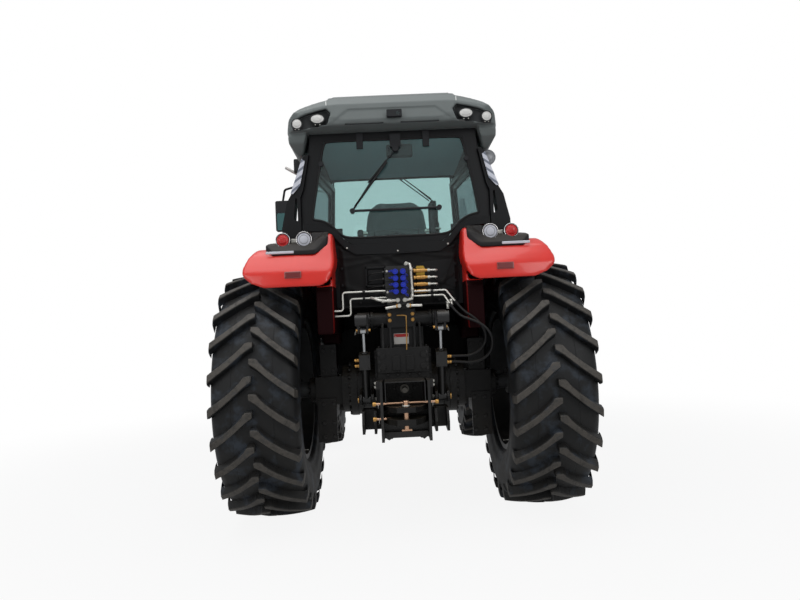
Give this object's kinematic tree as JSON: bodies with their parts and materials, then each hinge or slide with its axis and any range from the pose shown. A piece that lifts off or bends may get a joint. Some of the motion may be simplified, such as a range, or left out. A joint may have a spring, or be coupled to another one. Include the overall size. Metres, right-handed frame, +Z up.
{
  "type": "farm tractor",
  "caption": "Four-wheel-drive farm tractor with closed cab, red hood and fenders, rear three-point lift arms, remote couplers and drawbar jaw.",
  "frame": {"origin": "middle of the machine's footprint, on the floor", "axes": "+X to the tractor's right, +Y to its front, +Z up"},
  "size_m": [2.5098, 4.85, 3.1],
  "materials": {
    "red_paint": "gloss",
    "black_paint": "satin",
    "casting": "cast, painted dark",
    "rim_paint": "satin",
    "roof_plastic": "satin",
    "black_plastic": "moulded grain",
    "glass": "tinted",
    "tyre_rubber": "ribbed",
    "hose_rubber": "matt",
    "steel": "zinc plated",
    "chrome": "polished",
    "brass": "yellow zinc",
    "blue_cap": "moulded",
    "lamp_clear": "lens",
    "lamp_red": "lens",
    "seat_fabric": "woven"
  },
  "bodies": {
    "chassis": {"rear_housing": "casting", "axle_housings": "casting", "rear_pillars": "black_plastic", "rear_window_fittings": "black_plastic", "valve_fittings": "brass", "hood_support": "black_paint", "transmission_housing": "casting", "engine_block": "casting", "front_frame": "casting", "front_axle": "casting", "front_weights": "casting", "hitch_frame": "black_paint", "hitch_jaw": "casting", "hitch_pins": "brass", "pto_guard": "black_paint", "valve_block": "black_paint", "coupler_caps": "blue_cap", "hydraulic_pipes": "steel", "hose_high": "hose_rubber", "hose_low": "hose_rubber", "cab_frame": "black_paint", "cab_windows": "glass", "rear_window": "glass", "cab_floor": "black_paint", "cab_rear_panel": "black_plastic", "roof": "roof_plastic", "seat": "seat_fabric", "consoles": "black_plastic", "steering_wheel": "black_plastic", "fenders": "red_paint", "fender_decks": "black_plastic", "work_lamps": "lamp_clear", "tail_lamps": "lamp_red", "fuel_tank": "black_plastic", "battery_box": "black_plastic", "steps": "black_paint", "exhaust": "black_paint", "mirror": "black_plastic"},
    "hood": {"hood_shell": "red_paint", "hood_grille": "black_plastic", "headlamps": "lamp_clear"},
    "door_left": {"door_frame_left": "black_paint", "door_glass_left": "glass"},
    "door_right": {"door_frame_right": "black_paint", "door_glass_right": "glass"},
    "rear_wheel_left": {"rear_tyre_left": "tyre_rubber", "rear_rim_left": "rim_paint"},
    "rear_wheel_right": {"rear_tyre_right": "tyre_rubber", "rear_rim_right": "rim_paint"},
    "front_wheel_left": {"front_tyre_left": "tyre_rubber", "front_rim_left": "rim_paint"},
    "front_wheel_right": {"front_tyre_right": "tyre_rubber", "front_rim_right": "rim_paint"},
    "knuckle_left": {"knuckle_left": "casting"},
    "knuckle_right": {"knuckle_right": "casting"},
    "tie_rod": {"tie_rod": "steel"},
    "lift_arms": {"lift_arms": "casting"},
    "lift_barrels": {"lift_barrels": "black_paint"},
    "lift_rods": {"lift_rods": "chrome"},
    "pto_stub": {"pto_shaft": "steel"}
  },
  "joints": [
    {"name": "steer_left", "type": "hinge", "parent": "chassis", "child": "knuckle_left", "pos_m": [-0.7, 1.325, 0.7], "axis": [0, 0, 1], "range_deg": [-35, 35]},
    {"name": "steer_right", "type": "hinge", "parent": "chassis", "child": "knuckle_right", "pos_m": [0.7, 1.325, 0.7], "axis": [0, 0, 1], "range_deg": [-35, 35]},
    {"name": "tie_rod_turn", "type": "hinge", "parent": "knuckle_left", "child": "tie_rod", "pos_m": [-0.7, 1.085, 0.735], "axis": [0, 0, 1], "range_deg": [-35, 35]},
    {"name": "front_left_roll", "type": "hinge", "parent": "knuckle_left", "child": "front_wheel_left", "pos_m": [-0.93, 1.325, 0.7], "axis": [-1, 0, 0], "continuous": true},
    {"name": "front_right_roll", "type": "hinge", "parent": "knuckle_right", "child": "front_wheel_right", "pos_m": [0.93, 1.325, 0.7], "axis": [-1, 0, 0], "continuous": true},
    {"name": "rear_left_roll", "type": "hinge", "parent": "chassis", "child": "rear_wheel_left", "pos_m": [-0.972, -1.525, 0.9], "axis": [-1, 0, 0], "continuous": true},
    {"name": "rear_right_roll", "type": "hinge", "parent": "chassis", "child": "rear_wheel_right", "pos_m": [0.972, -1.525, 0.9], "axis": [-1, 0, 0], "continuous": true},
    {"name": "door_left_swing", "type": "hinge", "parent": "chassis", "child": "door_left", "pos_m": [-0.77658, -1.07, 2.2], "axis": [0.1196, 0, 0.9928], "range_deg": [0, 60]},
    {"name": "door_right_swing", "type": "hinge", "parent": "chassis", "child": "door_right", "pos_m": [0.77658, -1.07, 2.2], "axis": [0.1196, 0, -0.9928], "range_deg": [0, 60]},
    {"name": "hood_lift", "type": "hinge", "parent": "chassis", "child": "hood", "pos_m": [0, 0.02, 1.825], "axis": [1, 0, 0], "range_deg": [0, 45]},
    {"name": "lift_arm_swing", "type": "hinge", "parent": "chassis", "child": "lift_arms", "pos_m": [0, -1.925, 1.4], "axis": [-1, 0, 0], "range_deg": [-25, 30]},
    {"name": "lift_barrel_tilt", "type": "hinge", "parent": "chassis", "child": "lift_barrels", "pos_m": [0, -1.925, 0.85], "axis": [-1, 0, 0], "range_deg": [-5, 5]},
    {"name": "lift_rod_slide", "type": "slide", "parent": "lift_barrels", "child": "lift_rods", "axis": [0, -0.2682, 0.9634], "range_m": [-0.067, 0.0794]},
    {"name": "pto_turn", "type": "hinge", "parent": "chassis", "child": "pto_stub", "pos_m": [0, -2.085, 0.925], "axis": [0, -1, 0], "continuous": true}
  ],
  "couplings": [
    {"joint": "steer_right", "follows": "steer_left", "ratio": 1},
    {"joint": "tie_rod_turn", "follows": "steer_left", "ratio": -1},
    {"joint": "lift_barrel_tilt", "follows": "lift_arm_swing", "ratio": -0.0469},
    {"joint": "lift_rod_slide", "follows": "lift_arm_swing", "m_per_rad": 0.1422}
  ]
}
